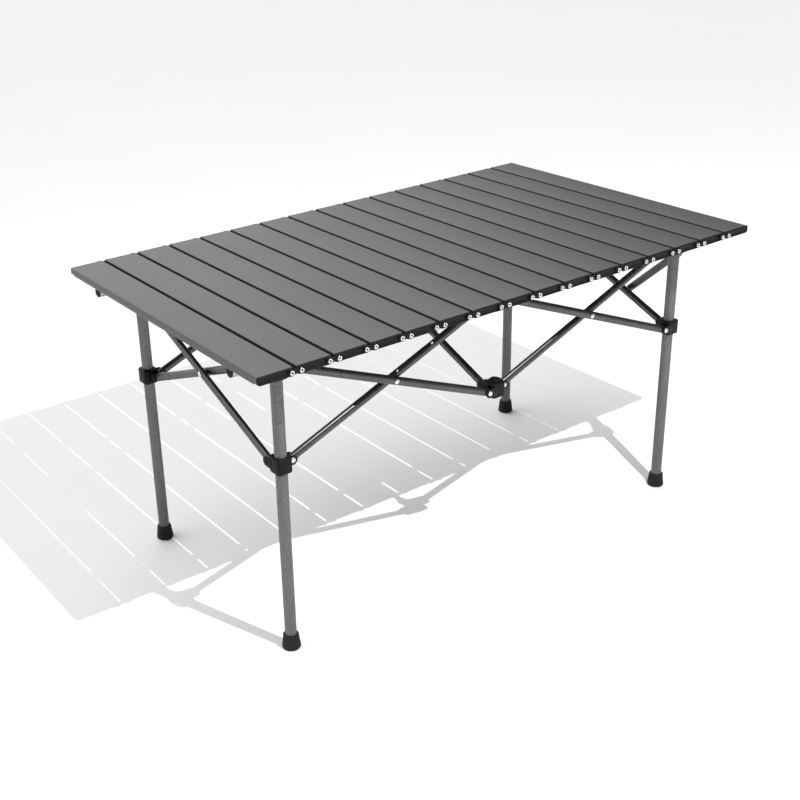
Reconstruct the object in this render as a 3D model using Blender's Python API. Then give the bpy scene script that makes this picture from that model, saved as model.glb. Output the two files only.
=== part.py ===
"""Folding picnic table: a slatted top that rolls up, on a scissor frame with four legs.

Metres, +Z up. X runs along the table, Y across it from front (-) to back (+). The origin is on the
floor under the middle of the table.
"""

import math

import bmesh
import bpy
from mathutils import Vector

MM = 0.001

# Tabletop
SLATS = 16
PITCH = 59.5 * MM            # from one slat to the next
GAP = 3.0 * MM               # between two slats
SLAT_LENGTH = 560.0 * MM     # across the table, end caps included
SLAT_THICK = 12.0 * MM
TOP_Z = 490.0 * MM           # height of the eating surface
TOP_EDGE_R = 3.0 * MM
LOW_EDGE_R = 1.5 * MM
SLAT_SKIN = 0.9 * MM
SLAT_CAP = 6.0 * MM          # solid plug at each end of a slat
VENT_R = 1.5 * MM            # drain hole of each chamber
HINGE_DEPTH = 3.0 * MM       # the virtual hinge line lies this far under the surface

# Frame layout
LEG_X = 397.0 * MM
LEG_Y = 198.5 * MM
PIVOT_OUT = 19.5 * MM        # from a leg's axis to the pins of its arms
PIVOT_HIGH = 453.0 * MM
PIVOT_LOW = 309.0 * MM

# Legs, feet and support bars
LEG_R = 9.0 * MM
LEG_WALL = 1.2 * MM
LEG_FOOT_Z = 4.0 * MM        # the leg tube stands this high inside its foot
LEG_END_Z = 456.5 * MM
FIT = 0.3 * MM               # gap between neighbours
FOOT_H = 24.0 * MM
BAR_R = 8.0 * MM
BAR_WALL = 1.2 * MM
BAR_HALF = 70.0 * MM
BAR_Z = 469.5 * MM

# Arms
ARM = 13.0 * MM              # height of the oval tube, across its pins
ARM_THICK = 10.2 * MM        # and its thickness along them
ARM_WALL = 1.2 * MM
LAYER = 5.4 * MM             # an arm's middle plane lies this far from its leg's plane
PIN_R = 2.5 * MM
HOLE_R = 2.9 * MM
HEAD_R = 4.2 * MM
HEAD_H = 1.2 * MM

# Brackets
BLOCK = 25.0 * MM
BLOCK_CHAMFER = 3.0 * MM
EAR_R = 7.5 * MM
EAR_T = 2.0 * MM
HEAD_BASE_Z = 440.0 * MM
HEAD_TOP_Z = 474.0 * MM

# Lock stay at the front right leg
STAY_LAYER = 20.1 * MM
STAY_PIN = (8.0 * MM, 432.6 * MM)      # distance from the leg's axis along Y, height
STAY_END = (107.0 * MM, 343.7 * MM)

# Facets of the round pieces
LEG_STEPS = 16
BAR_STEPS = 12
ARM_STEPS = 12
PIN_STEPS = 8
HALF_STEP = math.pi / PIN_STEPS   # turns an octagon so that no corner lies on a tube's edge line
VENT_STEPS = 6
EAR_STEPS = 5

X, Y, Z = Vector((1, 0, 0)), Vector((0, 1, 0)), Vector((0, 0, 1))

for old in list(bpy.data.objects):
    bpy.data.objects.remove(old, do_unlink=True)

table = bpy.data.collections.new("folding_picnic_table")
bpy.context.scene.collection.children.link(table)
tools = bpy.data.collections.new("cutters")
bpy.context.scene.collection.children.link(tools)


# ---------------------------------------------------------------- shapes

def prism(bm, points, origin, u, v, w, low, high):
    """A flat outline in the plane of u and v, run along w from low to high."""
    ends = []
    for d in (low, high):
        ends.append([bm.verts.new(origin + u * a + v * b + w * d) for a, b in points])
    n = len(points)
    bm.faces.new(ends[0][::-1])
    bm.faces.new(ends[1])
    for i in range(n):
        j = (i + 1) % n
        bm.faces.new((ends[0][i], ends[0][j], ends[1][j], ends[1][i]))


def circle(radius, steps, centre=(0.0, 0.0), start=0.0, turn=2 * math.pi, closed=True):
    count = steps if closed else steps + 1
    return [
        (
            centre[0] + radius * math.cos(start + turn * i / steps),
            centre[1] + radius * math.sin(start + turn * i / steps),
        )
        for i in range(count)
    ]


def rounded_end(length, radius, steps=EAR_STEPS, back=None):
    """A bar from 0 to length with a half-round end, and another at 0 unless back is given."""
    tip = circle(radius, steps, (length, 0), -math.pi / 2, math.pi, closed=False)
    if back is None:
        return tip + circle(radius, steps, (0, 0), math.pi / 2, math.pi, closed=False)
    return tip + [(back, radius), (back, -radius)]


def chamfered_square(side, chamfer):
    h, c = side / 2, side / 2 - chamfer
    return [(h, -c), (h, c), (c, h), (-c, h), (-h, c), (-h, -c), (-c, -h), (c, -h)]


def lathe(bm, profile, origin, steps, w=Z, u=X, v=Y):
    """A closed outline of (radius, height) turned about w. A radius of 0 is a point on the axis."""
    rings = []
    for r, h in profile:
        if r == 0:
            rings.append([bm.verts.new(origin + w * h)])
        else:
            rings.append([
                bm.verts.new(origin + w * h + u * (r * math.cos(t)) + v * (r * math.sin(t)))
                for t in (2 * math.pi * i / steps for i in range(steps))
            ])
    for k, ring in enumerate(rings):
        nxt = rings[(k + 1) % len(rings)]
        for i in range(steps):
            j = (i + 1) % steps
            corners = []
            for vert in (ring[i % len(ring)], ring[j % len(ring)], nxt[j % len(nxt)], nxt[i % len(nxt)]):
                if vert not in corners:
                    corners.append(vert)
            if len(corners) > 2:
                bm.faces.new(corners)


def rivet(bm, origin, w, low, shoulder, high):
    """A shank along w from low to the shoulder, and its head from there to high."""
    u = Z if abs(w.z) < 0.5 else X
    lathe(
        bm,
        [(0, low), (PIN_R, low), (PIN_R, shoulder), (HEAD_R, shoulder), (HEAD_R, high), (0, high)],
        origin, PIN_STEPS, w=w, u=u, v=w.cross(u),
    )


def box(bm, low, high):
    prism(
        bm,
        [(low[0], low[1]), (high[0], low[1]), (high[0], high[1]), (low[0], high[1])],
        Vector((0, 0, 0)), X, Y, Z, low[2], high[2],
    )


def fresh():
    return bmesh.new()


def as_tool(bm, name):
    mesh = bpy.data.meshes.new(name)
    bmesh.ops.recalc_face_normals(bm, faces=bm.faces)
    bm.to_mesh(mesh)
    bm.free()
    tool = bpy.data.objects.new(name, mesh)
    tool.hide_render = True
    tool.display_type = "WIRE"
    tools.objects.link(tool)
    return tool


def part(name, bm, origin, material, steps=()):
    """A named solid with its origin at a point. steps are (operation, bmesh) taken in order."""
    origin = Vector(origin)
    bmesh.ops.recalc_face_normals(bm, faces=bm.faces)
    bmesh.ops.translate(bm, verts=bm.verts, vec=-origin)
    mesh = bpy.data.meshes.new(name)
    bm.to_mesh(mesh)
    bm.free()
    obj = bpy.data.objects.new(name, mesh)
    obj.location = origin
    table.objects.link(obj)
    mesh.materials.append(material)
    for i, (operation, tool_bm) in enumerate(steps):
        tool = as_tool(tool_bm, f"{name}_tool_{i}")
        tool.data.materials.append(material)
        mod = obj.modifiers.new(f"{operation.lower()}_{i}", "BOOLEAN")
        mod.operation = operation
        mod.solver = "EXACT"
        mod.object = tool
    for face in mesh.polygons:
        face.use_smooth = True
    mesh.set_sharp_from_angle(angle=math.radians(32))
    return obj


def paint(name, colour, metallic, roughness):
    mat = bpy.data.materials.new(name)
    mat.use_nodes = True
    shader = next(n for n in mat.node_tree.nodes if n.type == "BSDF_PRINCIPLED")
    shader.inputs["Base Color"].default_value = (*colour, 1.0)
    shader.inputs["Metallic"].default_value = metallic
    shader.inputs["Roughness"].default_value = roughness
    mat.diffuse_color = (*colour, 1.0)
    return mat


# ---------------------------------------------------------------- tabletop

def slat_outline():
    """The slat's cross-section, x across the slat and y up from its middle."""
    h, t = (PITCH - GAP) / 2, SLAT_THICK / 2
    r, s = TOP_EDGE_R, LOW_EDGE_R
    quarter = math.pi / 2
    return (
        circle(r, 3, (h - r, t - r), 0, quarter, closed=False)
        + circle(r, 3, (-h + r, t - r), quarter, quarter, closed=False)
        + circle(s, 1, (-h + s, -t + s), 2 * quarter, quarter, closed=False)
        + circle(s, 1, (h - s, -t + s), 3 * quarter, quarter, closed=False)
    )


def slat(index):
    """One hollow panel, plugged at both ends, with a web down the middle and a vent per chamber."""
    x = (index - (SLATS + 1) / 2) * PITCH
    z = TOP_Z - SLAT_THICK / 2
    half = SLAT_LENGTH / 2
    body, chambers, vents = fresh(), fresh(), fresh()
    prism(body, slat_outline(), Vector((x, 0, z)), X, Z, -Y, -half, half)
    reach = (PITCH - GAP) / 2 - 2 * SLAT_SKIN
    depth = SLAT_THICK / 2 - SLAT_SKIN
    for side in (-1, 1):
        near, far = sorted((side * SLAT_SKIN / 2, side * reach))
        box(
            chambers,
            (x + near, -half + SLAT_CAP, z - depth),
            (x + far, half - SLAT_CAP, z + depth),
        )
        prism(
            vents, circle(VENT_R, VENT_STEPS), Vector((x + (near + far) / 2, 0, z)), X, Z, -Y,
            -half - MM, half + MM,
        )
    pivot_x = x - PITCH / 2 if index > 1 else x
    part(
        f"slat_{index:02d}", body, (pivot_x, 0, TOP_Z - HINGE_DEPTH),
        paint(f"slat_{index:02d}", (0.36, 0.37, 0.38), 0.5, 0.5),
        (("DIFFERENCE", chambers), ("DIFFERENCE", vents)),
    )


# ---------------------------------------------------------------- legs and what is fixed to them

CORNERS = {
    "front_left": (-LEG_X, -LEG_Y),
    "back_left": (-LEG_X, LEG_Y),
    "front_right": (LEG_X, -LEG_Y),
    "back_right": (LEG_X, LEG_Y),
}
MIDDLES = {"front": (0.0, -LEG_Y), "back": (0.0, LEG_Y)}


def leg(key, x, y):
    body = fresh()
    r, q = LEG_R, LEG_R - LEG_WALL
    lathe(
        body, [(r, LEG_FOOT_Z), (r, LEG_END_Z), (q, LEG_END_Z), (q, LEG_FOOT_Z)],
        Vector((x, y, 0)), LEG_STEPS,
    )
    part(f"leg_{key}", body, (x, y, 0), paint(f"leg_{key}", (0.16, 0.165, 0.17), 0.6, 0.45))


def foot(key, x, y):
    body = fresh()
    r = LEG_R + FIT
    lathe(
        body,
        [
            (0, 0), (12.6 * MM, 0), (14.2 * MM, 1.6 * MM), (13.6 * MM, 10 * MM),
            (12.0 * MM, 20 * MM), (11.6 * MM, 23 * MM), (11.0 * MM, FOOT_H), (r, FOOT_H),
            (r, LEG_FOOT_Z - FIT), (0, LEG_FOOT_Z - FIT),
        ],
        Vector((x, y, 0)), LEG_STEPS,
    )
    part(f"foot_{key}", body, (x, y, 0), paint(f"foot_{key}", (0.02, 0.02, 0.02), 0.0, 0.8))


def bar(key, x, y):
    """The short tube across a leg's head that carries the slats."""
    body = fresh()
    r, q = BAR_R, BAR_R - BAR_WALL
    lathe(
        body, [(r, -BAR_HALF), (r, BAR_HALF), (q, BAR_HALF), (q, -BAR_HALF)],
        Vector((x, y, BAR_Z)), BAR_STEPS, w=X, u=Y, v=Z,
    )
    part(f"bar_{key}", body, (x, y, BAR_Z), paint(f"bar_{key}", (0.3, 0.31, 0.32), 0.7, 0.4))


def add_fork(ears, pins, centre, out, across, offset):
    """Two ears that hold an arm between them, and the pin through them.

    out points from the block to the arm, across is the pin's direction, and offset is how far the
    arm's middle plane lies from the block's along across.
    """
    origin = centre + out * PIVOT_OUT
    inner = ARM_THICK / 2 + FIT
    for side in (-1, 1):
        low, high = sorted((offset + side * inner, offset + side * (inner + EAR_T)))
        beyond = abs(low + high) / 2 > BLOCK / 2 - EAR_T / 2 - 1.0 * MM
        root = -PIVOT_OUT + (4.0 * MM if beyond else 9.0 * MM)
        prism(
            ears, rounded_end(0.0, EAR_R, EAR_STEPS, back=root), origin, out, Z, out.cross(Z),
            *sorted((low * across.dot(out.cross(Z)), high * across.dot(out.cross(Z)))),
        )
    reach = inner + EAR_T / 2
    sign = across.dot(out.cross(Z))
    prism(
        pins, circle(PIN_R, PIN_STEPS), origin, out, Z, out.cross(Z),
        *sorted(((offset - reach) * sign, (offset + reach) * sign)),
    )


def bracket(name, centre, low, high, forks, bore=None, bar_bore=False, lug=None, colour=0.03):
    """A moulded block with forks for the arms. forks are (out, across, offset)."""
    centre = Vector(centre)
    body = fresh()
    flat = Vector((centre.x, centre.y, 0))
    c = 1.5 * MM
    outline = chamfered_square(BLOCK, BLOCK_CHAMFER)
    small = chamfered_square(BLOCK - 2 * c, BLOCK_CHAMFER)
    rings = []
    for points, z in ((small, low), (outline, low + c), (outline, high - c), (small, high)):
        rings.append([body.verts.new(flat + X * a + Y * b + Z * z) for a, b in points])
    body.faces.new(rings[0][::-1])
    body.faces.new(rings[-1])
    for lower, upper in zip(rings, rings[1:]):
        for i in range(8):
            j = (i + 1) % 8
            body.faces.new((lower[i], lower[j], upper[j], upper[i]))
    steps = []
    for out, across, offset in forks:
        ears, pins = fresh(), fresh()
        add_fork(ears, pins, centre, out, across, offset)
        steps += [("UNION", ears), ("UNION", pins)]
    if lug:
        plate, pin = fresh(), fresh()
        lug(plate, pin)
        steps += [("UNION", plate), ("UNION", pin)]
    if bore:
        hole = fresh()
        prism(hole, circle(LEG_R + FIT, LEG_STEPS), flat, X, Y, Z, *bore)
        steps.append(("DIFFERENCE", hole))
    if bar_bore:
        hole = fresh()
        prism(
            hole, circle(BAR_R + FIT, BAR_STEPS), Vector((centre.x, centre.y, BAR_Z)), Y, Z, X,
            -BLOCK, BLOCK,
        )
        steps.append(("DIFFERENCE", hole))
    grey = (colour, colour, colour * 1.05)
    part(name, body, centre, paint(name, grey, 0.0, 0.55), steps)


def stay_lug(plate, pin):
    """The plate and pin under the front right leg head that the lock stay turns on."""
    x, y = CORNERS["front_right"]
    dy, z = STAY_PIN
    near = 9.7 * MM
    low = STAY_LAYER - ARM_THICK / 2 - FIT
    origin = Vector((x, y + dy, z))
    outline = rounded_end(0.0, 6.5 * MM, EAR_STEPS, back=-14.0 * MM)
    prism(plate, outline, origin, -Z, Y, X, near, low)
    shoulder = STAY_LAYER + ARM_THICK / 2 + FIT
    rivet(pin, origin, X, low - 2 * MM, shoulder, shoulder + HEAD_H)


# ---------------------------------------------------------------- arms

def tube(body, hollow, start, along, width, normal, length):
    """An oval tube from 0 to length whose domed ends are centred on the pins, and its inside."""
    half, inside = ARM / 2, ARM / 2 - ARM_WALL
    dome = [(0.0, -half), (0.5 * half, -0.866 * half), (0.866 * half, -0.5 * half), (half, 0.0)]
    outline = dome + [(r, length - h) for r, h in reversed(dome)]
    flat = normal * (ARM_THICK / ARM)
    lathe(body, outline, start, ARM_STEPS, w=along, u=width, v=flat)
    flat = normal * ((ARM_THICK - 2 * ARM_WALL) / (ARM - 2 * ARM_WALL))
    lathe(
        hollow, [(0, -MM), (inside, -MM), (inside, length + MM), (0, length + MM)],
        start, ARM_STEPS, w=along, u=width, v=flat,
    )


def arm(name, start, end, normal, riveted):
    """An oval tube between two pins. riveted arms carry the crossing rivet of their pair."""
    start, end = Vector(start), Vector(end)
    along = (end - start).normalized()
    length = (end - start).length
    width = normal.cross(along)
    body, hollow, holes = fresh(), fresh(), fresh()
    half = ARM_THICK / 2
    tube(body, hollow, start, along, width, normal, length)
    stations = (0.0, length) if riveted else (0.0, length / 2, length)
    for s in stations:
        outline = circle(HOLE_R, PIN_STEPS, (s, 0), HALF_STEP)
        prism(holes, outline, start, along, width, normal, -ARM, ARM)
    steps = [("DIFFERENCE", hollow)]
    if riveted:
        shank = fresh()
        # normal points from this arm to the one it crosses
        low, far = -half + MM, 2 * LAYER + half + FIT
        u = along * math.cos(HALF_STEP) + width * math.sin(HALF_STEP)
        lathe(
            shank,
            [
                (0, -half - HEAD_H), (HEAD_R, -half - HEAD_H), (HEAD_R, low), (PIN_R, low),
                (PIN_R, far), (HEAD_R, far), (HEAD_R, far + HEAD_H), (0, far + HEAD_H),
            ],
            start + along * (length / 2), PIN_STEPS, w=normal, u=u, v=normal.cross(u),
        )
        steps.append(("UNION", shank))
    steps.append(("DIFFERENCE", holes))
    part(name, body, start, paint(name, (0.025, 0.025, 0.027), 0.4, 0.4), steps)


def long_side(name, y, outward):
    """The four arms of one long side. outward is -1 at the front and 1 at the back."""
    outer, inner = y + outward * LAYER, y - outward * LAYER
    left, right, e = -LEG_X, LEG_X, PIVOT_OUT
    to_inner = -Y * outward
    arm(
        f"arm_{name}_left_outer", (left + e, outer, PIVOT_HIGH), (-e, outer, PIVOT_LOW),
        to_inner, True,
    )
    arm(f"arm_{name}_left_inner", (-e, inner, PIVOT_HIGH), (left + e, inner, PIVOT_LOW), to_inner, False)
    arm(
        f"arm_{name}_right_outer", (e, outer, PIVOT_HIGH), (right - e, outer, PIVOT_LOW),
        to_inner, True,
    )
    arm(f"arm_{name}_right_inner", (right - e, inner, PIVOT_HIGH), (e, inner, PIVOT_LOW), to_inner, False)


def cross_frame(name, x, outward):
    """The two arms between the front and the back at one station along the table."""
    front, back = -LEG_Y + PIVOT_OUT, LEG_Y - PIVOT_OUT
    outer, inner = x + outward * LAYER, x - outward * LAYER
    arm(
        f"arm_{name}_outer", (outer, back, PIVOT_HIGH), (outer, front, PIVOT_LOW),
        -X * outward, True,
    )
    arm(f"arm_{name}_inner", (inner, front, PIVOT_HIGH), (inner, back, PIVOT_LOW), -X * outward, False)


def stay():
    """The lock stay: it runs from the leg head to the cross arm, and a peg at its end meets that arm."""
    x, y = CORNERS["front_right"]
    start = Vector((x + STAY_LAYER, y + STAY_PIN[0], STAY_PIN[1]))
    end = Vector((x + STAY_LAYER, y + STAY_END[0], STAY_END[1]))
    along = (end - start).normalized()
    length = (end - start).length
    width = X.cross(along)
    body, hollow, hole, peg = fresh(), fresh(), fresh(), fresh()
    half = ARM_THICK / 2
    tube(body, hollow, start, along, width, X, length)
    prism(hole, circle(HOLE_R, PIN_STEPS, (0, 0), HALF_STEP), start, along, width, X, -ARM, ARM)
    arm_face = LAYER + half + FIT
    prism(
        peg, circle(PIN_R, PIN_STEPS, (length, 0)), start, along, width, X,
        arm_face - STAY_LAYER, -half + 0.8 * MM,
    )
    part(
        "lock_stay", body, start, paint("lock_stay", (0.025, 0.025, 0.027), 0.4, 0.4),
        (("DIFFERENCE", hollow), ("DIFFERENCE", hole), ("UNION", peg)),
    )


# ---------------------------------------------------------------- assembly

for number in range(1, SLATS + 1):
    slat(number)

HALF_BLOCK = BLOCK / 2
for key, (px, py) in CORNERS.items():
    sx, sy = (1 if px > 0 else -1), (1 if py > 0 else -1)
    leg(key, px, py)
    foot(key, px, py)
    bar(key, px, py)
    # On the left the arm from the head along X is the outer one, and the arm across Y is the inner
    # one at the front and the outer one at the back; on the right the X arm is the inner one.
    x_high = sy * LAYER if sx < 0 else -sy * LAYER
    y_high = -sx * LAYER if sy < 0 else sx * LAYER
    bracket(
        f"head_{key}", (px, py, PIVOT_HIGH), HEAD_BASE_Z, HEAD_TOP_Z,
        ((-X * sx, Y, x_high), (-Y * sy, X, y_high)),
        bore=(HEAD_BASE_Z - MM, LEG_END_Z + FIT), bar_bore=True,
        lug=stay_lug if key == "front_right" else None,
    )
    bracket(
        f"slider_{key}", (px, py, PIVOT_LOW), PIVOT_LOW - HALF_BLOCK, PIVOT_LOW + HALF_BLOCK,
        ((-X * sx, Y, -x_high), (-Y * sy, X, -y_high)),
        bore=(PIVOT_LOW - BLOCK, PIVOT_LOW + BLOCK),
    )

for key, (px, py) in MIDDLES.items():
    sy = 1 if py > 0 else -1
    # The middle cross frame's outer arm is the one on the left.
    y_high = LAYER if sy < 0 else -LAYER
    bracket(
        f"hub_high_{key}", (px, py, PIVOT_HIGH), PIVOT_HIGH - HALF_BLOCK, PIVOT_HIGH + HALF_BLOCK,
        ((-X, Y, -sy * LAYER), (X, Y, sy * LAYER), (-Y * sy, X, y_high)),
    )
    bracket(
        f"hub_low_{key}", (px, py, PIVOT_LOW), PIVOT_LOW - HALF_BLOCK, PIVOT_LOW + HALF_BLOCK,
        ((-X, Y, sy * LAYER), (X, Y, -sy * LAYER), (-Y * sy, X, -y_high)),
    )

long_side("front", -LEG_Y, -1)
long_side("back", LEG_Y, 1)
cross_frame("left", -LEG_X, -1)
cross_frame("middle", 0.0, -1)
cross_frame("right", LEG_X, 1)
stay()
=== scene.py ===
"""Looks of the folding picnic table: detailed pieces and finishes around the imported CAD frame.

Metres, +Z up, the frame's own axes. Every piece is a closed mesh built in place and rides on a
body.
"""

import math

import bmesh
import bpy
from mathutils import Euler, Matrix, Vector


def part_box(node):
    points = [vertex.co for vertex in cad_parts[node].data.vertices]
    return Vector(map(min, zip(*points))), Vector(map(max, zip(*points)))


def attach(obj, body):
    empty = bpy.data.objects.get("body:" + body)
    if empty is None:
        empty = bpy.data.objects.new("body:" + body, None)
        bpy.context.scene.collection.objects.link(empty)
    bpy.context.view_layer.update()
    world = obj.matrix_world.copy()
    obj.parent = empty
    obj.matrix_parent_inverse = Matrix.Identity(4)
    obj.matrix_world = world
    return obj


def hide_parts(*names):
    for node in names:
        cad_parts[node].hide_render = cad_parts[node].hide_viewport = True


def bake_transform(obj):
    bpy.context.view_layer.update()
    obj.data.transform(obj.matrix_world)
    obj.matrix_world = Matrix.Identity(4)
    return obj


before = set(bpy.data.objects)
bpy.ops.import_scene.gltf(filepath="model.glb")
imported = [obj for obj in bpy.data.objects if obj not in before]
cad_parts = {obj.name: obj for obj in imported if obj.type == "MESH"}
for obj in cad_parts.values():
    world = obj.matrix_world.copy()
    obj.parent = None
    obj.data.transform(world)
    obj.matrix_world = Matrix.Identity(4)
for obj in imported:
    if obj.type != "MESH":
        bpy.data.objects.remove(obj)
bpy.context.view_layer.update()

MM = 0.001
X, Y, Z = Vector((1, 0, 0)), Vector((0, 1, 0)), Vector((0, 0, 1))


def middle_of(node):
    low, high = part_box(node)
    return (low + high) / 2


# ---------------------------------------------------------------- sizes

SNUG = 0.05 * MM               # the gap round a piece that is fixed in another
FIT = 0.3 * MM                 # the gap round a piece that slides or turns in another

SLATS = 16
FIRST_LOW, FIRST_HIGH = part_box("slat_01")
SECOND_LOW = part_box("slat_02")[0]
PITCH = SECOND_LOW.x - FIRST_LOW.x
SLAT_WIDTH = FIRST_HIGH.x - FIRST_LOW.x
SLAT_THICK = FIRST_HIGH.z - FIRST_LOW.z
SLAT_MID_Z = (FIRST_HIGH.z + FIRST_LOW.z) / 2
TOP_Z = FIRST_HIGH.z
SLAT_END = FIRST_HIGH.y
PANEL_END = SLAT_END - 3.5 * MM

# a slat's rounded edges: how far in from the side, and how deep
TOP_EDGE = (2.0 * MM, 3.0 * MM)
LOW_EDGE = (1.5 * MM, 1.5 * MM)
END_LOW_EDGE = (5.5 * MM, 3.6 * MM)   # the lower edge where a slat narrows to its cap
EDGE_MIN = 0.4 * MM
EDGE_STEPS = 7
NARROWS = (6 * MM, 9 * MM)            # a slat narrows between these distances from a panel's end
CHANNEL_X = 13 * MM                   # its two channels underneath lie this far from its middle
CHANNEL = (
    (-2.2 * MM, -1.0 * MM), (2.2 * MM, -1.0 * MM), (1.3 * MM, 0.7 * MM), (-1.3 * MM, 0.7 * MM),
)
GAP_SHADE_LEAN = 0.33                     # faces that lean more sideways than this line a gap and are painted near-black as its shade, but not the table's own two ends, beyond this x
GAP_SHADE_END = SLATS * PITCH / 2 - PITCH / 4   # but not the table's own two ends, beyond this x

LINK_RIVET_X = 7.5 * MM        # a link's rivets lie this far either side of the gap's middle
LINK_RIVET_DROP = 5.6 * MM     # and this far under the surface
LINK_R = 4.9 * MM
LINK_NECK = 3.2 * MM           # a link's round end reaches this far from its rivet to the waist
LINK_WAIST = 3.4 * MM
LINK_T = 2.0 * MM
LINK_BOSS = 0.6 * MM
LINK_AIR = 0.15 * MM

LEG_X = middle_of("leg_front_right").x
LEG_Y = middle_of("leg_back_right").y
LEG_R = 9.0 * MM
LEG_STATIONS = 14
TUBE_WALL = 1.2 * MM
BAR_R = 8.0 * MM
BAR_Z = 469.5 * MM

PIVOT_HIGH = 453.0 * MM
PIVOT_LOW = middle_of("slider_front_left").z
PIVOT_OUT = 19.5 * MM          # a fork's pin lies this far from its block's middle

ARM = 13.0 * MM                # an arm's oval section: its height across the pins
ARM_THICK = 10.2 * MM          # and its thickness along them
ARM_SIDES = 40
ARM_STATIONS = 12
LAYER = 5.4 * MM               # crossing arms lie this far either side of their plane
PIN_R = 2.5 * MM
HOLE_R = 2.9 * MM
# heads of rivets as (radius, height) in millimetres
PIN_HEAD = ((0, 1.35), (1.3, 1.3), (2.4, 1.1), (3.3, 0.75), (3.9, 0.35), (4.05, 0.1), (3.95, 0.0))
CROSS_HEAD = ((0, 1.5), (1.4, 1.42), (2.6, 1.15), (3.5, 0.7), (4.0, 0.3), (4.1, 0.08), (4.0, 0.0))

BLOCK = 25.0 * MM
BLOCK_CHAMFER = 3.0 * MM
BLOCK_TOP = 1.5 * MM
EAR_R = 7.5 * MM
EAR_T = 2.0 * MM
EAR_STEPS = 24
EAR_SOFT = 0.5 * MM
HEAD_BASE_Z = 440.0 * MM
HEAD_TOP_Z = 474.0 * MM
HEAD_BORE_TOP = 456.8 * MM

STAY_LAYER = 20.1 * MM
STAY_PIN = (8.0 * MM, 432.6 * MM)     # y from the leg's middle, and z
STAY_END = (107.0 * MM, 343.7 * MM)
LUG_R = 6.5 * MM


# ---------------------------------------------------------------- finishes

class Finish:
    """A procedural material and small helpers for its nodes."""

    def __init__(self, name, **sockets):
        self.mat = bpy.data.materials.new(name)
        self.mat.use_nodes = True
        self.tree = self.mat.node_tree
        self.shader = next(n for n in self.tree.nodes if n.type == "BSDF_PRINCIPLED")
        for key, value in sockets.items():
            self.shader.inputs[key.replace("_", " ")].default_value = value
        self.coord = self.tree.nodes.new("ShaderNodeTexCoord").outputs["Object"]

    def node(self, kind, inputs=None, **settings):
        made = self.tree.nodes.new(kind)
        for key, value in settings.items():
            setattr(made, key, value)
        for key, value in (inputs or {}).items():
            if isinstance(value, bpy.types.NodeSocket):
                self.tree.links.new(value, made.inputs[key])
            else:
                made.inputs[key].default_value = value
        return made

    def noise(self, scale, detail, rough, stretch=None):
        where = self.coord
        if stretch:
            mapping = self.node("ShaderNodeMapping", {"Vector": where, "Scale": stretch})
            where = mapping.outputs[0]
        return self.node(
            "ShaderNodeTexNoise",
            {"Vector": where, "Scale": scale, "Detail": detail, "Roughness": rough},
        ).outputs[0]

    def cells(self, scale):
        inputs = {"Vector": self.coord, "Scale": scale}
        return self.node("ShaderNodeTexVoronoi", inputs, feature="F1").outputs["Distance"]

    def warped_cells(self, scale, warp):
        """Soft-edged cells, each pushed out of shape by up to warp of its width."""
        shift = self.node("ShaderNodeTexNoise", {"Vector": self.coord, "Scale": scale * 0.7})
        where = self.node(
            "ShaderNodeVectorMath", {0: shift.outputs[1], 1: (warp / scale,) * 3, 2: self.coord},
            operation="MULTIPLY_ADD",
        ).outputs[0]
        made = self.node(
            "ShaderNodeTexVoronoi", {"Vector": where, "Scale": scale, "Smoothness": 0.6},
            feature="SMOOTH_F1",
        )
        return made.outputs["Distance"]

    def math(self, operation, a, b):
        return self.node("ShaderNodeMath", {0: a, 1: b}, operation=operation).outputs[0]

    def spread(self, value, low, high, start=0.3, stop=0.7):
        """The value's range from start to stop, taken to low to high."""
        return self.node(
            "ShaderNodeMapRange",
            {"Value": value, "From Min": start, "From Max": stop, "To Min": low, "To Max": high},
        ).outputs[0]

    def ramp(self, value, stops):
        made = self.node("ShaderNodeValToRGB", {"Fac": value})
        elements = made.color_ramp.elements
        while len(elements) < len(stops):
            elements.new(0.5)
        for element, (position, grey) in zip(elements, stops):
            element.position = position
            element.color = (grey, grey, grey, 1.0)
        return made.outputs[0]

    def blend(self, a, b, factor, mode="MIX"):
        inputs = {0: factor, 6: a, 7: b}
        return self.node("ShaderNodeMix", inputs, data_type="RGBA", blend_type=mode).outputs[2]

    def vary(self, base, value, low, high):
        """The base times low to high, as the value goes."""
        return self.blend(base, self.ramp(value, ((0.3, low), (0.7, high))), 1.0, "MULTIPLY")

    def worn(self, base, colour, amount, low, high):
        """The base with paler sharp edges, where the surface's pointiness is from low to high."""
        point = self.node("ShaderNodeNewGeometry").outputs["Pointiness"]
        patch = self.noise(220.0, 4.0, 0.7)
        edge = self.math(
            "MULTIPLY", self.spread(point, 0.0, 1.0, low, high), self.spread(patch, 0.2, 1.0),
        )
        return self.blend(base, colour, self.math("MULTIPLY", edge, amount))

    def bump(self, height, strength, distance, under=None):
        inputs = {"Height": height, "Strength": strength, "Distance": distance}
        if under:
            inputs["Normal"] = under
        return self.node("ShaderNodeBump", inputs).outputs[0]

    def use(self, colour, roughness, normal):
        for key, value in (("Base Color", colour), ("Roughness", roughness), ("Normal", normal)):
            self.tree.links.new(value, self.shader.inputs[key])
        return self.mat


def slat_finish():
    f = Finish("powder_coated_slat", Metallic=0.3, Specular_IOR_Level=0.7)
    grain = f.noise(1150.0, 3.0, 0.65)
    speck = f.cells(820.0)
    cloud = f.noise(7.0, 3.0, 0.5)
    base = f.ramp(grain, ((0.25, 0.033), (0.5, 0.046), (0.78, 0.070)))
    base = f.vary(base, cloud, 0.93, 1.05)
    base = f.worn(base, (0.14, 0.14, 0.143, 1), 0.35, 0.53, 0.60)
    mixed = f.math("ADD", f.math("MULTIPLY", grain, 0.6), f.math("MULTIPLY", cloud, 0.4))
    normal = f.bump(speck, 0.22, 0.0003)
    normal = f.bump(grain, 0.30, 0.0002, normal)
    return f.use(base, f.spread(mixed, 0.34, 0.46), normal)


# Painted shade: a near-black finish for the walls of the gaps between slats, standing in for the
# shade down in the gaps.
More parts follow.
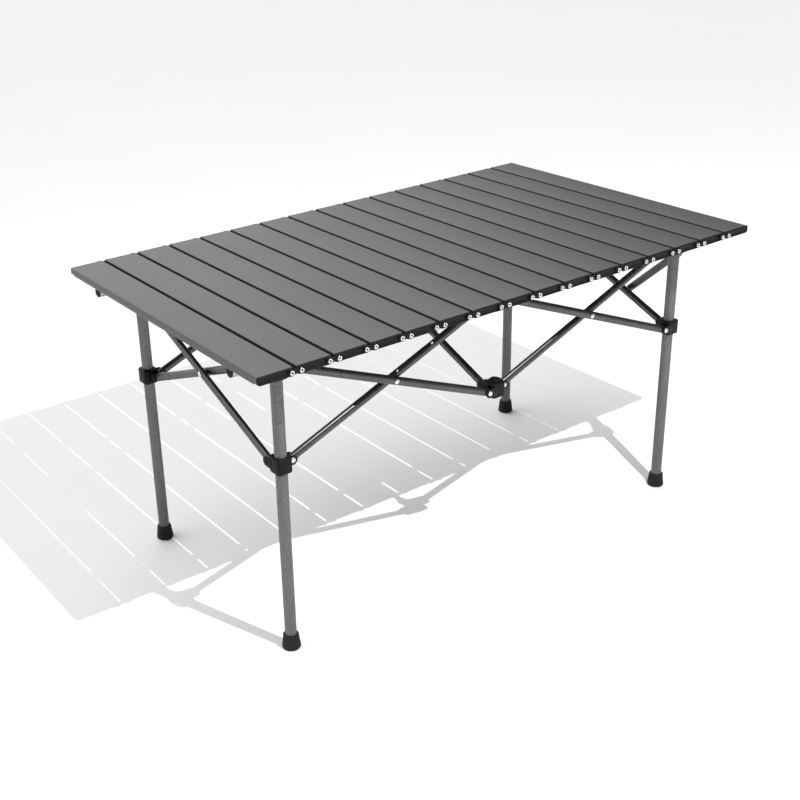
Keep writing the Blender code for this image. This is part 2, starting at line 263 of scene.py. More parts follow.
def painted_gap_shade_finish():
    f = Finish("slat_flank_painted_shade", Metallic=0.0, Specular_IOR_Level=0.10)
    grain = f.noise(900.0, 3.0, 0.65)
    base = f.ramp(grain, ((0.3, 0.008), (0.7, 0.014)))
    rough = f.spread(grain, 0.55, 0.7)
    return f.use(base, rough, f.bump(grain, 0.25, 0.0002))


def leg_finish():
    f = Finish("hammertone_leg", Metallic=0.55, Specular_IOR_Level=0.5)
    hammer = f.warped_cells(330.0, 0.5)
    grain = f.noise(900.0, 3.0, 0.6)
    cloud = f.noise(16.0, 2.0, 0.5)
    base = f.ramp(hammer, ((0.08, 0.160), (0.45, 0.128), (0.85, 0.108)))
    base = f.vary(base, grain, 0.86, 1.12)
    base = f.vary(base, cloud, 0.94, 1.06)
    rough = f.spread(hammer, 0.34, 0.48, 0.1, 0.8)
    normal = f.bump(hammer, 0.18, 0.0005)
    normal = f.bump(grain, 0.10, 0.0002, normal)
    return f.use(base, rough, normal)


def arm_finish():
    f = Finish("black_nickel_arm", Metallic=0.95, Specular_IOR_Level=0.5)
    draw = f.noise(260.0, 4.0, 0.6)
    peel = f.noise(420.0, 2.0, 0.5)
    cloud = f.noise(30.0, 3.0, 0.6)
    base = f.ramp(draw, ((0.3, 0.075), (0.7, 0.110)))
    base = f.vary(base, cloud, 0.86, 1.08)
    base = f.worn(base, (0.22, 0.22, 0.225, 1), 0.25, 0.56, 0.66)
    rough = f.spread(peel, 0.31, 0.41)
    return f.use(base, rough, f.bump(peel, 0.10, 0.0003))


def plastic_finish():
    f = Finish("moulded_black_plastic", Metallic=0.0, Specular_IOR_Level=0.10)
    grain = f.noise(1500.0, 2.0, 0.5)
    cloud = f.noise(60.0, 3.0, 0.6)
    base = f.ramp(cloud, ((0.3, 0.006), (0.7, 0.010)))
    base = f.worn(base, (0.055, 0.055, 0.056, 1), 0.5, 0.54, 0.64)
    rough = f.spread(cloud, 0.36, 0.5)
    return f.use(base, rough, f.bump(grain, 0.18, 0.0002))


def rubber_finish():
    f = Finish("black_rubber", Metallic=0.0, Specular_IOR_Level=0.3)
    grain = f.noise(1300.0, 3.0, 0.6)
    dust = f.noise(120.0, 4.0, 0.65)
    base = f.ramp(dust, ((0.35, 0.009), (0.75, 0.020)))
    rough = f.spread(dust, 0.62, 0.82)
    return f.use(base, rough, f.bump(grain, 0.25, 0.0003))


def bar_finish():
    f = Finish("bare_tube", Metallic=0.85, Specular_IOR_Level=0.5)
    drawn = f.noise(500.0, 3.0, 0.6, (0.04, 1.0, 1.0))
    cloud = f.noise(40.0, 3.0, 0.6)
    base = f.ramp(drawn, ((0.3, 0.36), (0.7, 0.50)))
    base = f.vary(base, cloud, 0.88, 1.05)
    rough = f.spread(drawn, 0.30, 0.44)
    return f.use(base, rough, f.bump(drawn, 0.12, 0.0002))


def rivet_finish():
    f = Finish("bright_rivet", Metallic=0.9, Specular_IOR_Level=0.5)
    mark = f.noise(700.0, 4.0, 0.65)
    base = f.ramp(mark, ((0.25, 0.60), (0.75, 0.80)))
    rough = f.spread(mark, 0.22, 0.36)
    return f.use(base, rough, f.bump(mark, 0.10, 0.0002))


def floor_finish():
    f = Finish("studio_floor", Metallic=0.0, Specular_IOR_Level=0.12)
    cloud = f.noise(2.2, 3.0, 0.5)
    grain = f.noise(160.0, 3.0, 0.6)
    base = f.ramp(cloud, ((0.3, 0.955), (0.7, 0.97)))
    rough = f.spread(grain, 0.75, 0.85)
    return f.use(base, rough, f.bump(grain, 0.02, 0.0005))


SLAT = slat_finish()
GAP_SHADE_PAINT = painted_gap_shade_finish()
LEG = leg_finish()
ARMS = arm_finish()
PLASTIC = plastic_finish()
RUBBER = rubber_finish()
BARS = bar_finish()
RIVET = rivet_finish()
FLOOR = floor_finish()


# ---------------------------------------------------------------- shapes

def prism(points, origin, u, v, w, low, high, bm=None):
    """A flat outline in the plane of u and v, run along w from low to high."""
    bm = bm or bmesh.new()
    ends = []
    for d in (low, high):
        ends.append([bm.verts.new(origin + u * a + v * b + w * d) for a, b in points])
    n = len(points)
    bm.faces.new(ends[0][::-1])
    bm.faces.new(ends[1])
    for i in range(n):
        j = (i + 1) % n
        bm.faces.new((ends[0][i], ends[0][j], ends[1][j], ends[1][i]))
    return bm


def circle(radius, steps, centre=(0.0, 0.0), start=0.0, turn=2 * math.pi, closed=True):
    count = steps if closed else steps + 1
    return [
        (
            centre[0] + radius * math.cos(start + turn * i / steps),
            centre[1] + radius * math.sin(start + turn * i / steps),
        )
        for i in range(count)
    ]


def slat_outline(inset, low_edge):
    """A slat's section: a rolled edge above, another below, all drawn in by inset."""
    half_u, half_v = SLAT_WIDTH / 2 - inset, SLAT_THICK / 2 - inset
    points = []
    for quarter, (a, b) in enumerate((TOP_EDGE, TOP_EDGE, low_edge, low_edge)):
        a, b = max(a - inset, EDGE_MIN), max(b - inset, EDGE_MIN)
        side, level = (1 if quarter in (0, 3) else -1), (1 if quarter < 2 else -1)
        for i in range(EDGE_STEPS + 1):
            t = math.pi / 2 * (quarter + i / EDGE_STEPS)
            points.append((
                side * (half_u - a) + a * math.cos(t), level * (half_v - b) + b * math.sin(t),
            ))
    return points


def ear_outline(radius, back):
    """A strip twice the radius wide that starts at back and ends round about the pin at 0."""
    tip = circle(radius, EAR_STEPS, (0, 0), -math.pi / 2, math.pi, closed=False)
    return tip + [(back, radius), (back, -radius)]


def chamfered_square(side, chamfer):
    h, c = side / 2, side / 2 - chamfer
    return [(h, -c), (h, c), (c, h), (-c, h), (-h, c), (-h, -c), (-c, -h), (c, -h)]


def loft(rings):
    """A closed solid through rings of points, all of one length, capped at both ends."""
    bm = bmesh.new()
    made = [[bm.verts.new(p) for p in ring] for ring in rings]
    n = len(made[0])
    bm.faces.new(made[0][::-1])
    bm.faces.new(made[-1])
    for lower, upper in zip(made, made[1:]):
        for i in range(n):
            j = (i + 1) % n
            bm.faces.new((lower[i], lower[j], upper[j], upper[i]))
    return bm


def lathe(profile, origin, steps, w=Z):
    """A closed outline of (radius, height) turned about w. A radius of 0 is on the axis."""
    bm = bmesh.new()
    u = Z if abs(w.z) < 0.5 else X
    v = w.cross(u)
    rings = []
    for r, h in profile:
        if r == 0:
            rings.append([bm.verts.new(origin + w * h)])
        else:
            rings.append([
                bm.verts.new(origin + w * h + u * (r * math.cos(t)) + v * (r * math.sin(t)))
                for t in (2 * math.pi * i / steps for i in range(steps))
            ])
    for k, ring in enumerate(rings):
        after = rings[(k + 1) % len(rings)]
        for i in range(steps):
            j = (i + 1) % steps
            corners = []
            for points, place in ((ring, i), (ring, j), (after, j), (after, i)):
                vert = points[place % len(points)]
                if vert not in corners:
                    corners.append(vert)
            if len(corners) > 2:
                bm.faces.new(corners)
    return bm


def arc(centre, radius, start, stop, steps):
    """Points of a (radius, height) profile on a circle, angles in degrees."""
    turns = [math.radians(start + (stop - start) * i / steps) for i in range(steps + 1)]
    return [(centre[0] + radius * math.cos(t), centre[1] + radius * math.sin(t)) for t in turns]


def tube_outline(outer, inner, low, high, chamfer, stations=()):
    """The (radius, height) outline of a plain tube with broken edges."""
    return [
        (outer - chamfer, low), (outer, low + chamfer), *((outer, h) for h in stations),
        (outer, high - chamfer), (outer - chamfer, high), (inner + chamfer, high),
        (inner, high - chamfer), (inner, low + chamfer), (inner + chamfer, low),
    ]


def rivet_outline(head, top, bottom):
    """A (radius, height) outline: a head at top, one at -bottom, and the shank between."""
    upper = [(r * MM, top + h * MM) for r, h in head]
    lower = [(r * MM, -bottom - h * MM) for r, h in reversed(head)]
    return upper + [(PIN_R, top), (PIN_R, -bottom)] + lower


def soften(bm, offset, angle=35.0):
    """Rounds every edge sharper than the angle."""
    bmesh.ops.recalc_face_normals(bm, faces=bm.faces)
    sharp = [e for e in bm.edges if e.is_manifold and e.calc_face_angle() > math.radians(angle)]
    bmesh.ops.bevel(
        bm, geom=sharp, offset=offset, segments=2, profile=0.5, affect="EDGES", clamp_overlap=True,
    )
    return bm


def mesh_of(bm, name="shape"):
    bmesh.ops.recalc_face_normals(bm, faces=bm.faces)
    mesh = bpy.data.meshes.new(name)
    bm.to_mesh(mesh)
    bm.free()
    return mesh


def linked(name, data):
    obj = bpy.data.objects.new(name, data)
    bpy.context.scene.collection.objects.link(obj)
    return obj


def combine(base, steps):
    """base with (operation, bmesh) taken in order by exact Booleans; returns a bmesh."""
    obj = linked("combine_base", mesh_of(base))
    used = [obj]
    for operation, tool_bm in steps:
        tool = linked("combine_tool", mesh_of(tool_bm))
        used.append(tool)
        mod = obj.modifiers.new(operation.lower(), "BOOLEAN")
        mod.operation, mod.solver, mod.object = operation, "EXACT", tool
    bpy.context.view_layer.update()
    result = bmesh.new()
    result.from_object(obj, bpy.context.evaluated_depsgraph_get())
    for item in used:
        data = item.data
        bpy.data.objects.remove(item, do_unlink=True)
        bpy.data.meshes.remove(data)
    return result


def piece(name, bm, material, body, node=None, smooth=40.0):
    """A named mesh that rides on a body, takes a slot's finish and may stand for a CAD node."""
    mesh = bm if isinstance(bm, bpy.types.Mesh) else mesh_of(bm, name)
    mesh.materials.clear()
    mesh.materials.append(material)
    for face in mesh.polygons:
        face.use_smooth = True
    mesh.set_sharp_from_angle(angle=math.radians(smooth))
    obj = linked(name, mesh)
    if body:
        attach(obj, body)
    if node:
        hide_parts(node)
    return obj


# ---------------------------------------------------------------- tabletop

def slat_x(index):
    return (index - (SLATS + 1) / 2) * PITCH


def panel(index):
    """The folded metal skin of one slat, with two shallow channels along its underside."""
    centre = Vector((slat_x(index), 0, SLAT_MID_Z))
    ends = [
        (-PANEL_END, END_LOW_EDGE), (-PANEL_END + NARROWS[0], END_LOW_EDGE),
        (-PANEL_END + NARROWS[1], LOW_EDGE),
    ]
    ends += [(-y, edge) for y, edge in reversed(ends)]
    rings = [
        [centre + X * a + Y * y + Z * b for a, b in slat_outline(0.0, edge)] for y, edge in ends
    ]
    channels = bmesh.new()
    for side in (-1, 1):
        start = centre + X * (side * CHANNEL_X) - Z * (SLAT_THICK / 2)
        prism(CHANNEL, start, X, Z, Y, -SLAT_END - MM, SLAT_END + MM, channels)
    bm = combine(loft(rings), [("DIFFERENCE", channels)])
    slat = f"slat_{index:02d}"
    obj = piece(f"panel_{index:02d}", bm, SLAT, slat, slat)
    # the walls of the gaps between slats take the painted shade; the outer walls at the table's
    # two ends keep the slat finish
    obj.data.materials.append(GAP_SHADE_PAINT)
    for face in obj.data.polygons:
        if abs(face.normal.x) > GAP_SHADE_LEAN and abs(face.center.x) < GAP_SHADE_END:
            face.material_index = 1


def cap(index, sign):
    """The moulded plug in the end of a slat: a rounded rim round a shallow field."""
    centre = Vector((slat_x(index), sign * PANEL_END, SLAT_MID_Z))
    out = Y * sign
    depth = SLAT_END - PANEL_END
    rings = []
    for inset, level in (
        (0.0, SNUG), (0.0, depth - 1.1 * MM), (0.12 * MM, depth - 0.6 * MM),
        (0.45 * MM, depth - 0.2 * MM), (0.9 * MM, depth - 0.03 * MM), (1.3 * MM, depth),
        (1.9 * MM, depth), (2.1 * MM, depth - 0.1 * MM), (2.4 * MM, depth - 0.5 * MM),
        (2.6 * MM, depth - 0.6 * MM),
    ):
        points = slat_outline(inset + SNUG, END_LOW_EDGE)
        rings.append([centre + X * a + Z * b + out * level for a, b in points])
    side = "front" if sign < 0 else "back"
    piece(f"cap_{side}_{index:02d}", loft(rings), PLASTIC, f"slat_{index:02d}")


def link_half_height(x):
    """Half a link plate's height at x: round about each rivet, with a waist between them."""
    away = abs(abs(x) - LINK_RIVET_X)
    if abs(x) >= LINK_RIVET_X or away < LINK_NECK:
        half = math.sqrt(max(LINK_R ** 2 - away ** 2, 0.0))
    else:
        neck = math.sqrt(LINK_R ** 2 - LINK_NECK ** 2)
        t = (away - LINK_NECK) / (LINK_RIVET_X - LINK_NECK)
        half = neck + (LINK_WAIST - neck) * (3 * t * t - 2 * t ** 3)
    return max(half, 0.7 * MM)


def link_template():
    """A dumbbell plate about the origin: X along, Z up, and its outer face towards -Y."""
    round_steps, steps = 14, 5
    neck_x = -LINK_RIVET_X + LINK_NECK
    xs = [
        -LINK_RIVET_X - LINK_R * math.cos(math.pi * i / (2 * round_steps))
        for i in range(round_steps)
    ]
    xs += [-LINK_RIVET_X + LINK_NECK * i / steps for i in range(steps + 1)]
    xs += [neck_x - neck_x * i / steps for i in range(1, steps + 1)]
    xs += [-x for x in reversed(xs[:-1])]
    edge, nick, t = 0.45 * MM, 0.13 * MM, LINK_T
    rings = []
    for x in xs:
        half = link_half_height(x)
        ring = [
            (0, -half), (0, half), (edge - t, half), (nick - t, half - nick), (-t, half - edge),
            (-t, edge - half), (nick - t, nick - half), (edge - t, -half),
        ]
        rings.append([Vector((x, b, c)) for b, c in ring])
    boss = [
        (0, t - 0.2 * MM), (5.0 * MM, t - 0.2 * MM), (5.0 * MM, t + 0.35 * MM),
        (4.75 * MM, t + 0.55 * MM), (4.5 * MM, t + LINK_BOSS), (0, t + LINK_BOSS),
    ]
    hole = [(0, -MM), (1.95 * MM, -MM), (1.95 * MM, 4 * MM), (0, 4 * MM)]
    changes = []
    for side in (-1, 1):
        middle = Vector((side * LINK_RIVET_X, 0, 0))
        changes.append(("UNION", lathe(boss, middle, 32, w=-Y)))
        changes.append(("DIFFERENCE", lathe(hole, middle, 24, w=-Y)))
    return mesh_of(combine(loft(rings), changes), "link_template")


def rivet_template():
    """A tubular rivet about the origin, its rolled head towards -Y."""
    tube_out, tube_in, rim, tail = 1.9 * MM, 1.6 * MM, 3.35 * MM, -1.5 * MM
    profile = [(tube_in, tail), (tube_in, 0.55 * MM)]
    profile += arc((tube_in + 0.7 * MM, 0.5 * MM), 0.7 * MM, 175, 95, 5)
    profile += arc((rim - 0.62 * MM, 0.55 * MM), 0.62 * MM, 85, -5, 6)
    profile += [
        (rim - 0.1 * MM, 0.15 * MM), (rim - 0.4 * MM, SNUG), (tube_out, SNUG), (tube_out, tail),
    ]
    return mesh_of(lathe(profile, Vector((0, 0, 0)), 32, w=-Y), "rivet_template")


def placed(mesh, name, where, sign):
    """A copy of a template at a point, turned round for the back."""
    data = mesh.copy()
    data.name = name
    turn = Matrix.Rotation(math.pi, 4, "Z") if sign > 0 else Matrix.Identity(4)
    data.transform(Matrix.Translation(where) @ turn)
    return data


def tabletop():
    for index in range(1, SLATS + 1):
        panel(index)
        cap(index, -1)
        cap(index, 1)
    link, rivet = link_template(), rivet_template()
    for sign, side in ((-1, "front"), (1, "back")):
        face = sign * (SLAT_END + LINK_AIR)
        for gap in range(1, SLATS):
            x = (slat_x(gap) + slat_x(gap + 1)) / 2
            where = Vector((x, face, TOP_Z - LINK_RIVET_DROP))
            name = f"link_{side}_{gap:02d}"
            obj = piece(name, placed(link, name, where, sign), PLASTIC, None)
            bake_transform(obj)
            for step, owner, letter in ((-1, gap, "a"), (1, gap + 1, "b")):
                name = f"rivet_{side}_{gap:02d}_{letter}"
                spot = where + X * (step * LINK_RIVET_X) + Y * (sign * (LINK_T + LINK_BOSS))
                mesh = placed(rivet, name, spot, sign)
                piece(name, mesh, RIVET, f"slat_{owner:02d}")


# ---------------------------------------------------------------- legs and what is fixed to them

CORNERS = {
    "front_left": (-1, -1),
    "back_left": (-1, 1),
    "front_right": (1, -1),
    "back_right": (1, 1),
}


def leg(key, at):
    low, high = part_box(f"leg_{key}")
    span = high.z - low.z
    stations = [low.z + span * i / LEG_STATIONS for i in range(1, LEG_STATIONS)]
    profile = tube_outline(LEG_R, LEG_R - TUBE_WALL, low.z, high.z, 0.3 * MM, stations)
    piece(f"tube_{key}", lathe(profile, at, 64), LEG, f"leg_{key}", f"leg_{key}")


def foot(key, at):
    """The rubber boot: a flared tread, ribs up the side and a collar."""
    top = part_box(f"foot_{key}")[1].z
    floor_inside = 3.7 * MM
    first_rib, last_rib, rib_pitch, taper = 4.2 * MM, 19.0 * MM, 2.3 * MM, 0.125
    profile = [
        (0, 0.9 * MM), (7.0 * MM, 0.9 * MM), (7.6 * MM, 0.0), (11.9 * MM, 0.0),
        (12.7 * MM, 0.15 * MM), (13.4 * MM, 0.6 * MM), (14.1 * MM, 1.5 * MM),
        (14.2 * MM, 2.4 * MM), (14.1 * MM, 3.4 * MM),
    ]
    z = first_rib
    while z < last_rib:
        r = 14.0 * MM - (z - first_rib) * taper
        profile += [
            (r - 0.45 * MM, z), (r - 0.45 * MM, z + 0.5 * MM), (r - 0.1 * MM, z + 0.85 * MM),
            (r - 0.02 * MM, z + 1.4 * MM), (r - 0.12 * MM, z + 1.95 * MM),
        ]
        z += rib_pitch
    profile += [
        (11.7 * MM, top - 4.3 * MM), (11.9 * MM, top - 3.6 * MM), (12.0 * MM, top - 2.2 * MM),
        (11.8 * MM, top - 0.9 * MM), (11.3 * MM, top - 0.2 * MM), (10.6 * MM, top),
        (9.9 * MM, top - 0.1 * MM), (LEG_R + FIT, top - 0.6 * MM), (LEG_R + FIT, floor_inside),
        (0, floor_inside),
    ]
    bm = lathe(profile, Vector((at.x, at.y, 0)), 56)
    piece(f"boot_{key}", bm, RUBBER, f"leg_{key}", f"foot_{key}", smooth=50.0)


def rail(key, at):
    """The support bar across a leg's head, and the plug in each of its ends."""
    low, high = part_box(f"bar_{key}")
    half = (high.x - low.x) / 2
    r, q = BAR_R, BAR_R - TUBE_WALL
    centre = Vector((at.x, at.y, BAR_Z))
    tube = lathe(tube_outline(r, q, -half, half, 0.25 * MM), centre, 48, w=X)
    piece(f"rail_{key}", tube, BARS, f"leg_{key}", f"bar_{key}")
    stem, brim = q - 0.15 * MM, 0.1 * MM
    plug = [(0, -9 * MM), (q - 0.5 * MM, -9 * MM), (stem, -8 * MM), (stem, brim)]
    plug += [(r - 0.15 * MM, brim)] + arc((r - 1.0 * MM, 0.9 * MM), 0.95 * MM, 0, 85, 5)
    plug += [(3.4 * MM, 2.3 * MM), (2.9 * MM, 2.2 * MM), (2.6 * MM, 1.5 * MM), (0, 1.4 * MM)]
    for side, letter in ((-1, "left"), (1, "right")):
        bm = lathe(plug, centre + X * (side * half), 40, w=X * side)
        piece(f"rail_plug_{key}_{letter}", bm, PLASTIC, f"leg_{key}")


def block(centre, low, high):
    """A moulded block with chamfered corners and softened edges."""
    flat = Vector((centre.x, centre.y, 0))
    outline = chamfered_square(BLOCK, BLOCK_CHAMFER)
    small = chamfered_square(BLOCK - 2 * BLOCK_TOP, BLOCK_CHAMFER * 0.85)
    rings = []
    for points, z in (
        (small, low), (outline, low + BLOCK_TOP), (outline, high - BLOCK_TOP), (small, high),
    ):
        rings.append([flat + X * a + Y * b + Z * z for a, b in points])
    return soften(loft(rings), 0.45 * MM, 20.0)


def fork(centre, out, across, offset):
    """(ears, pin hole) of a fork; out points from the block to the arm, across is the pin's way.

    An ear that would stand beside its block is rooted deeper in it.
    """
    origin = centre + out * PIVOT_OUT
    w = out.cross(Z)
    sign = across.dot(w)
    inner = ARM_THICK / 2 + FIT
    ears = []
    for side in (-1, 1):
        low, high = sorted((offset + side * inner, offset + side * (inner + EAR_T)))
        beside = abs(low + high) / 2 > BLOCK / 2 - EAR_T / 2 - 1.0 * MM
        root = -PIVOT_OUT + (4.0 * MM if beside else 9.0 * MM)
        span = sorted((low * sign, high * sign))
        ears.append(soften(prism(ear_outline(EAR_R, root), origin, out, Z, w, *span), EAR_SOFT))
    reach = inner + EAR_T + MM
    span = sorted(((offset - reach) * sign, (offset + reach) * sign))
    return ears, prism(circle(PIN_R + SNUG, 24), origin, out, Z, w, *span)


def pin(name, body, centre, out, across, offset):
    """The rivet through a fork: a domed head each side and the shank between.

    The rivets across the long sides are bright, those across the ends are black.
    """
    origin = centre + out * PIVOT_OUT + across * offset
    face = ARM_THICK / 2 + FIT + EAR_T + SNUG
    finish, slot = (RIVET, "bar_metal") if abs(across.y) > 0.5 else (PLASTIC, "black_plastic")
    bm = lathe(rivet_outline(PIN_HEAD, face, face), origin, 32, w=across)
    piece(name, bm, finish, body, smooth=60.0)


def leg_bore(low, high, start, stop):
    """The outline of a leg's hole in a block, flared where it comes out of a face."""
    r, c = LEG_R + FIT, 0.8 * MM
    if stop > high:
        return [
            (0, start), (r + 3 * c, start), (r + c, low - 0.01 * MM), (r, low + c),
            (r, high - c), (r + c, high + 0.01 * MM), (r + 3 * c, stop), (0, stop),
        ]
    return [
        (0, start), (r + 2 * c, start), (r + c, low - 0.01 * MM), (r, low + c), (r, stop),
        (0, stop),
    ]


def hub_dome():
    profile = [(0, -4 * MM), (8.4 * MM, -4 * MM), (8.4 * MM, 1.4 * MM)]
    profile += arc((5.9 * MM, 1.6 * MM), 2.5 * MM, 0, 70, 5)
    return profile + [(4.5 * MM, 4.4 * MM), (2.3 * MM, 4.75 * MM), (0, 4.8 * MM)]


def bracket(
    node, name, body, centre, low, high, forks, bore=None, bar_bore=False, dome=False, lug=(),
):
    """A moulded block, its forks and their pins; bore is where a leg's hole starts and stops."""
    centre = Vector(centre)
    steps, holes = [], []
    for number, (out, across, offset) in enumerate(forks):
        ears, hole = fork(centre, out, across, offset)
        steps += [("UNION", e) for e in ears]
        holes.append(("DIFFERENCE", hole))
        pin(f"pin_{name}_{number + 1}", body, centre, out, across, offset)
    flat = Vector((centre.x, centre.y, 0))
    if dome:
        steps.append(("UNION", lathe(hub_dome(), flat + Z * high, 40)))
    if bore:
        holes.append(("DIFFERENCE", lathe(leg_bore(low, high, *bore), flat, 48)))
    if bar_bore:
        hole = prism(circle(BAR_R + FIT, 48), flat + Z * BAR_Z, Y, Z, X, -BLOCK, BLOCK)
        holes.append(("DIFFERENCE", hole))
    bm = combine(block(centre, low, high), [*steps, *lug, *holes])
    piece(name, bm, PLASTIC, body, node, smooth=32.0)


def stay_lug():
    """The plate on the front right leg's head that the lock stay turns on, and its pin's hole."""
    side_x, side_y = CORNERS["front_right"]
    origin = Vector((side_x * LEG_X, side_y * LEG_Y + STAY_PIN[0], STAY_PIN[1]))
    face = STAY_LAYER - ARM_THICK / 2 - FIT
    plate = prism(ear_outline(LUG_R, -14.0 * MM), origin, -Z, Y, X, 9.7 * MM, face)
    hole = prism(circle(PIN_R + SNUG, 24), origin, -Z, Y, X, 5 * MM, face + MM)
    return [("UNION", soften(plate, EAR_SOFT)), ("DIFFERENCE", hole)]


# ---------------------------------------------------------------- arms

def arm_tube(start, end, normal, stations):
    """An oval tube with domed ends round its pins, and pin holes at the stations."""
    along = (end - start).normalized()
    length = (end - start).length
    width = normal.cross(along)
    half, flat = ARM / 2, ARM_THICK / ARM
    angles = [math.radians(6 + 12 * i) for i in reversed(range(7))]
    dome = [(half * math.cos(a), -half * math.sin(a)) for a in angles] + [(half, 0.0)]
    profile = dome + [(half, length * i / ARM_STATIONS) for i in range(1, ARM_STATIONS)]
    profile += [(r, length - h) for r, h in reversed(dome)]
    turns = [2 * math.pi * i / ARM_SIDES for i in range(ARM_SIDES)]
    body = loft([
        [
            start + along * h + width * (r * math.cos(t)) + normal * (r * flat * math.sin(t))
            for t in turns
        ]
        for r, h in profile
    ])
    # a little turn keeps the holes' corners off the tube's own edges
    holes = [
        prism(circle(HOLE_R, 24, (s, 0), 0.03), start, along, width, normal, -ARM, ARM)
        for s in stations
    ]
    return combine(body, [("DIFFERENCE", hole) for hole in holes])


def arm(key, start, end, normal, crossing):
    """An arm from its upper pin to its lower one; crossing says that it carries the rivet."""
    start, end = Vector(start), Vector(end)
    length = (end - start).length
    node = f"arm_{key}"
    bm = arm_tube(start, end, normal, (0.0, length / 2, length))
    piece(f"strut_{key}", bm, ARMS, node, node, smooth=35.0)
    if crossing:
        near = ARM_THICK / 2 + SNUG
        far = 2 * LAYER + ARM_THICK / 2 + FIT
        bm = lathe(rivet_outline(CROSS_HEAD, far, near), (start + end) / 2, 32, w=normal)
        piece(f"cross_rivet_{key}", bm, RIVET, node, smooth=60.0)


def long_side(name, y, outward):
    outer, inner = y + outward * LAYER, y - outward * LAYER
    left, right, e = -LEG_X + PIVOT_OUT, LEG_X - PIVOT_OUT, PIVOT_OUT
    to_inner = -Y * outward
    high, low = PIVOT_HIGH, PIVOT_LOW
    arm(f"{name}_left_outer", (left, outer, high), (-e, outer, low), to_inner, True)
    arm(f"{name}_left_inner", (-e, inner, high), (left, inner, low), to_inner, False)
    arm(f"{name}_right_outer", (e, outer, high), (right, outer, low), to_inner, True)
    arm(f"{name}_right_inner", (right, inner, high), (e, inner, low), to_inner, False)


def cross_frame(name, x, outward):
    front, back = -LEG_Y + PIVOT_OUT, LEG_Y - PIVOT_OUT
    outer, inner = x + outward * LAYER, x - outward * LAYER
    to_inner = -X * outward
    high, low = PIVOT_HIGH, PIVOT_LOW
    arm(f"{name}_outer", (outer, back, high), (outer, front, low), to_inner, True)
    arm(f"{name}_inner", (inner, front, high), (inner, back, low), to_inner, False)


def brace():
    """The lock stay, its peg and the rivet that it turns on."""
    side_x, side_y = CORNERS["front_right"]
    x, y = side_x * LEG_X + STAY_LAYER, side_y * LEG_Y
    start = Vector((x, y + STAY_PIN[0], STAY_PIN[1]))
    end = Vector((x, y + STAY_END[0], STAY_END[1]))
    half = ARM_THICK / 2
    bm = arm_tube(start, end, X, (0.0,))
    piece("brace", bm, ARMS, "lock_stay", "lock_stay", smooth=35.0)
    tip = LAYER + half + FIT - STAY_LAYER
    root = -half + 0.8 * MM
    peg = [(0, tip), (PIN_R - 0.5 * MM, tip), (PIN_R, tip + 0.5 * MM), (PIN_R, root), (0, root)]
    piece("brace_peg", lathe(peg, end, 28, w=X), RIVET, "lock_stay")
    shoulder, tail = half + FIT, -half - 4 * MM
    profile = [(r * MM, shoulder + h * MM) for r, h in PIN_HEAD]
    profile += [(PIN_R, shoulder), (PIN_R, tail), (0, tail)]
    bm = lathe(profile, start, 32, w=X)
    piece("brace_pin", bm, RIVET, "leg_front_right", smooth=60.0)


# ---------------------------------------------------------------- assembly

def leg_set(key, side_x, side_y):
    """A leg with its foot, bar, head and slider."""
    at = Vector((side_x * LEG_X, side_y * LEG_Y, 0))
    leg(key, at)
    foot(key, at)
    rail(key, at)
    shift = side_x * side_y * LAYER
    head_forks = ((-X * side_x, Y, -shift), (-Y * side_y, X, shift))
    slider_forks = ((-X * side_x, Y, shift), (-Y * side_y, X, -shift))
    bracket(
        f"head_{key}", f"clamp_{key}", f"leg_{key}", (at.x, at.y, PIVOT_HIGH),
        HEAD_BASE_Z, HEAD_TOP_Z, head_forks, bore=(HEAD_BASE_Z - 2 * MM, HEAD_BORE_TOP),
        bar_bore=True, lug=stay_lug() if key == "front_right" else (),
    )
    low, high = PIVOT_LOW - BLOCK / 2, PIVOT_LOW + BLOCK / 2
    bracket(
        f"slider_{key}", f"collar_{key}", f"slider_{key}", (at.x, at.y, PIVOT_LOW),
        low, high, slider_forks, bore=(low - 2 * MM, high + 2 * MM),
    )


def hub(key, side_y, level, z, turn):
    """A middle joint of a long side, with forks to the left, the right and the far side."""
    shift = turn * LAYER * -side_y
    forks = ((-X, Y, shift), (X, Y, -shift), (-Y * side_y, X, shift))
    name = f"hub_{level}_{key}"
    bracket(
        name, f"joint_{level}_{key}", name, (0, side_y * LEG_Y, z), z - BLOCK / 2, z + BLOCK / 2,
        forks, dome=level == "low",
    )


def under_frame():
    for key, (side_x, side_y) in CORNERS.items():
        leg_set(key, side_x, side_y)
    for key, side_y in (("front", -1), ("back", 1)):
        hub(key, side_y, "high", PIVOT_HIGH, 1)
        hub(key, side_y, "low", PIVOT_LOW, -1)
    long_side("front", -LEG_Y, -1)
    long_side("back", LEG_Y, 1)
    cross_frame("left", -LEG_X, -1)
    cross_frame("middle", 0.0, -1)
    cross_frame("right", LEG_X, 1)
    brace()


tabletop()
under_frame()


# ---------------------------------------------------------------- studio

BROAD_LIGHT = (-0.30, 0.75, 0.60)
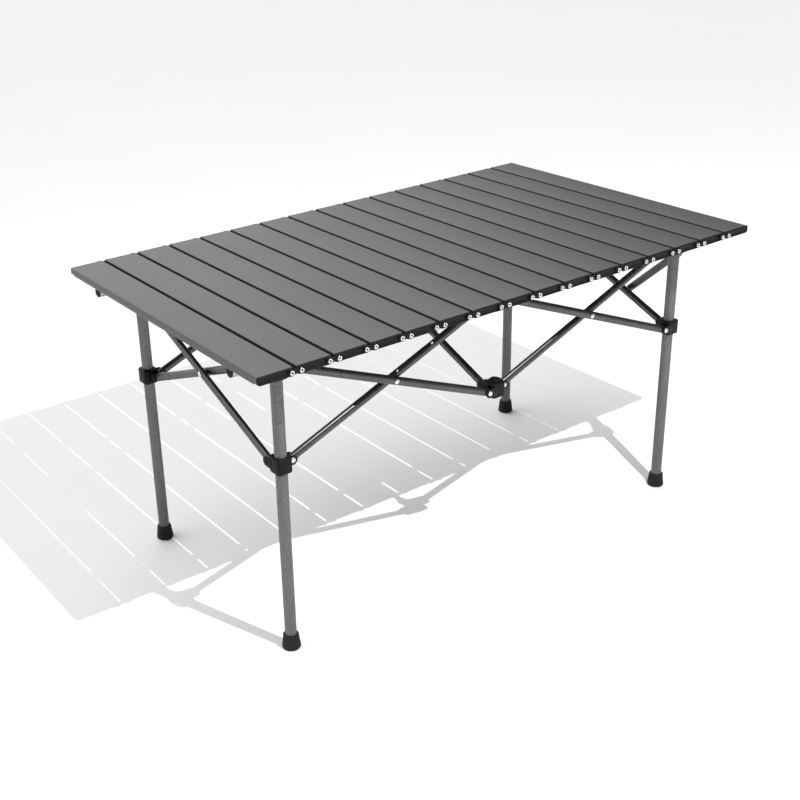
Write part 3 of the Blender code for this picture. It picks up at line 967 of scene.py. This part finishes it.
# its edge and its core as cosines, and the strength outside and in it
BROAD_FADE = {"From Min": 0.30, "From Max": 0.80, "To Min": 0.24, "To Max": 1.8}
KEY_PLACE, KEY_WATTS, KEY_RADIUS = (-0.04, -1.25, 1.85), 150.0, 0.005
FLOOR_HALF, FLOOR_CELLS, FLOOR_DROP = 14.0, 24, 0.2 * MM
CAMERA_PLACE, CAMERA_TURN = (-1.1994, -1.5005, 1.1242), (65.46, 2.51, -34.29)


def studio():
    bm = bmesh.new()
    bmesh.ops.create_grid(bm, x_segments=FLOOR_CELLS, y_segments=FLOOR_CELLS, size=FLOOR_HALF)
    mesh = bpy.data.meshes.new("floor")
    bm.to_mesh(mesh)
    bm.free()
    mesh.materials.append(FLOOR)
    floor = linked("floor", mesh)
    floor.location.z = -FLOOR_DROP

    world = bpy.data.worlds.new("studio")
    bpy.context.scene.world = world
    world.use_nodes = True
    tree = world.node_tree
    background = next(n for n in tree.nodes if n.type == "BACKGROUND")
    background.inputs["Color"].default_value = (1.0, 1.0, 1.0, 1.0)
    # one broad light hangs over the far side, and the rest of the studio is dim
    towards = tree.nodes.new("ShaderNodeVectorMath")
    towards.operation = "DOT_PRODUCT"
    towards.inputs[1].default_value = Vector(BROAD_LIGHT).normalized()
    fade = tree.nodes.new("ShaderNodeMapRange")
    fade.interpolation_type = "SMOOTHSTEP"
    for socket, value in BROAD_FADE.items():
        fade.inputs[socket].default_value = value
    sky = tree.nodes.new("ShaderNodeTexCoord")
    tree.links.new(sky.outputs["Generated"], towards.inputs[0])
    tree.links.new(towards.outputs["Value"], fade.inputs["Value"])
    tree.links.new(fade.outputs["Result"], background.inputs["Strength"])

    key = bpy.data.lights.new("key", "POINT")
    key.energy = KEY_WATTS
    key.shadow_soft_size = KEY_RADIUS
    linked("key", key).location = KEY_PLACE


def camera():
    data = bpy.data.cameras.new("camera")
    data.sensor_width = 36.0
    data.lens = 55.8
    data.shift_x, data.shift_y = 0.1176, -0.0179
    data.clip_start, data.clip_end = 0.05, 60.0
    obj = linked("camera", data)
    obj.location = CAMERA_PLACE
    obj.rotation_euler = Euler([math.radians(a) for a in CAMERA_TURN], "XYZ")
    bpy.context.scene.camera = obj


studio()
camera()
bpy.context.scene.view_settings.view_transform = "Standard"

bpy.context.view_layer.update()
